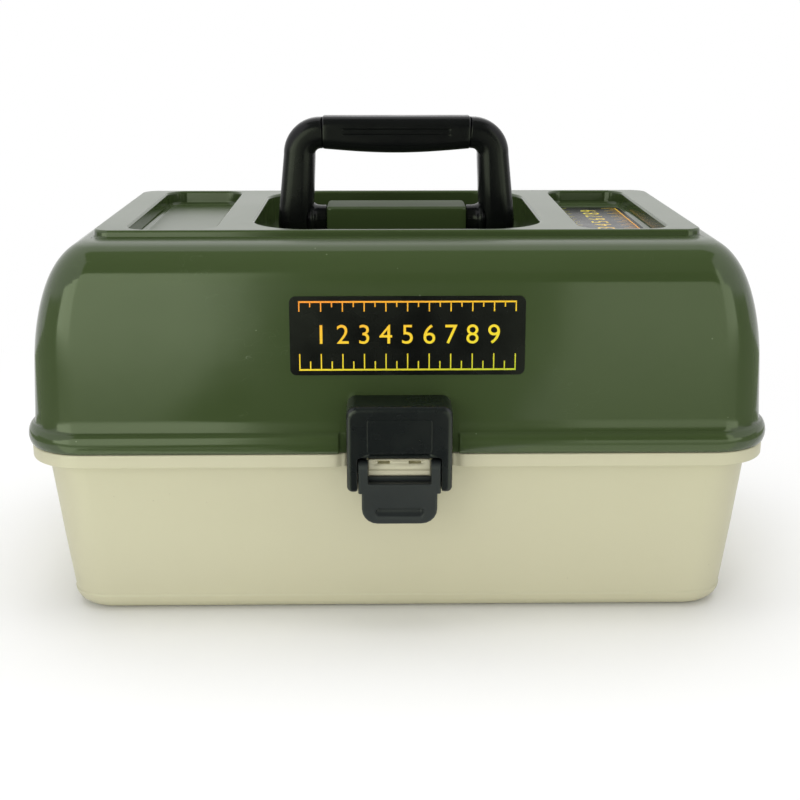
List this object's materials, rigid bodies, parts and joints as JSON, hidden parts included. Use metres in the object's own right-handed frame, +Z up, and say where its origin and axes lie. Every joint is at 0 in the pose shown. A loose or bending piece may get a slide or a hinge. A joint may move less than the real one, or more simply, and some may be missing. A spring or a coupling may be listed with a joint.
{
  "type": "cantilever tackle box",
  "caption": "Portable tackle box: a beige tub, a hinged green lid with a folding carry handle and front latch, and two divided trays that rise and step back as the lid opens.",
  "frame": {"origin": "middle of the flat underside of the tub", "axes": "+X to the right along the box's length, +Y to the back, +Z up; the latch faces -Y"},
  "size_m": [0.36, 0.2346, 0.2362],
  "materials": {
    "green_plastic": "gloss moulded, dark olive green",
    "beige_plastic": "satin moulded, warm beige",
    "black_plastic": "satin moulded, black",
    "lever_plastic": "satin moulded, dark grey",
    "label_film": "gloss printed film, black with yellow ticks and numbers",
    "tray_plastic": "satin moulded, warm beige",
    "zinc_steel": "bright zinc plated"
  },
  "bodies": {
    "base": {"base_tub": "beige_plastic", "hinge_pin_left": "zinc_steel", "hinge_pin_right": "zinc_steel", "arm_screw_left": "zinc_steel", "arm_screw_right": "zinc_steel"},
    "lid": {"lid_shell": "green_plastic", "front_label": "label_film", "top_label": "label_film", "latch_hood": "black_plastic", "hood_screws": "zinc_steel", "lid_plate_left": "zinc_steel", "lid_plate_right": "zinc_steel", "lid_plate_screws_left": "zinc_steel", "lid_plate_screws_right": "zinc_steel"},
    "handle": {"handle_frame": "black_plastic", "handle_grip": "black_plastic"},
    "lever": {"latch_lever": "lever_plastic"},
    "left_arm": {"front_arm_left": "zinc_steel"},
    "right_arm": {"front_arm_right": "zinc_steel"},
    "lower_tray_set": {"lower_tray": "tray_plastic", "lower_front_dividers": "tray_plastic", "lower_rear_dividers": "tray_plastic", "lower_rivets_left": "zinc_steel", "lower_rivets_right": "zinc_steel"},
    "upper_tray_set": {"upper_tray": "tray_plastic", "upper_front_dividers": "tray_plastic", "upper_rear_dividers": "tray_plastic", "upper_rivets_left": "zinc_steel", "upper_rivets_right": "zinc_steel"}
  },
  "joints": [
    {"name": "lid_hinge", "type": "hinge", "parent": "base", "child": "lid", "pos_m": [0, 0.1103, 0.08755], "axis": [-1, 0, 0], "range_deg": [0, 100]},
    {"name": "left_arm_pivot", "type": "hinge", "parent": "base", "child": "left_arm", "pos_m": [-0.1632, 0.02, 0.082], "axis": [-1, 0, 0], "range_deg": [0, 100]},
    {"name": "right_arm_pivot", "type": "hinge", "parent": "base", "child": "right_arm", "pos_m": [0.1632, 0.02, 0.082], "axis": [-1, 0, 0], "range_deg": [0, 100]},
    {"name": "lower_tray_pivot", "type": "hinge", "parent": "lid", "child": "lower_tray_set", "pos_m": [0, 0.0623, 0.09355], "axis": [-1, 0, 0], "range_deg": [-100, 0]},
    {"name": "upper_tray_pivot", "type": "hinge", "parent": "lid", "child": "upper_tray_set", "pos_m": [0, 0.0203, 0.11755], "axis": [-1, 0, 0], "range_deg": [-100, 0]},
    {"name": "handle_fold", "type": "hinge", "parent": "lid", "child": "handle", "pos_m": [0, 0, 0.183], "axis": [-1, 0, 0], "range_deg": [-90, 90]},
    {"name": "latch_swing", "type": "hinge", "parent": "lid", "child": "lever", "pos_m": [0, -0.115, 0.0851], "axis": [-1, 0, 0], "range_deg": [0, 95]}
  ],
  "couplings": [
    {"joint": "left_arm_pivot", "follows": "lid_hinge", "ratio": 1},
    {"joint": "right_arm_pivot", "follows": "lid_hinge", "ratio": 1},
    {"joint": "lower_tray_pivot", "follows": "lid_hinge", "ratio": -1},
    {"joint": "upper_tray_pivot", "follows": "lid_hinge", "ratio": -1}
  ]
}
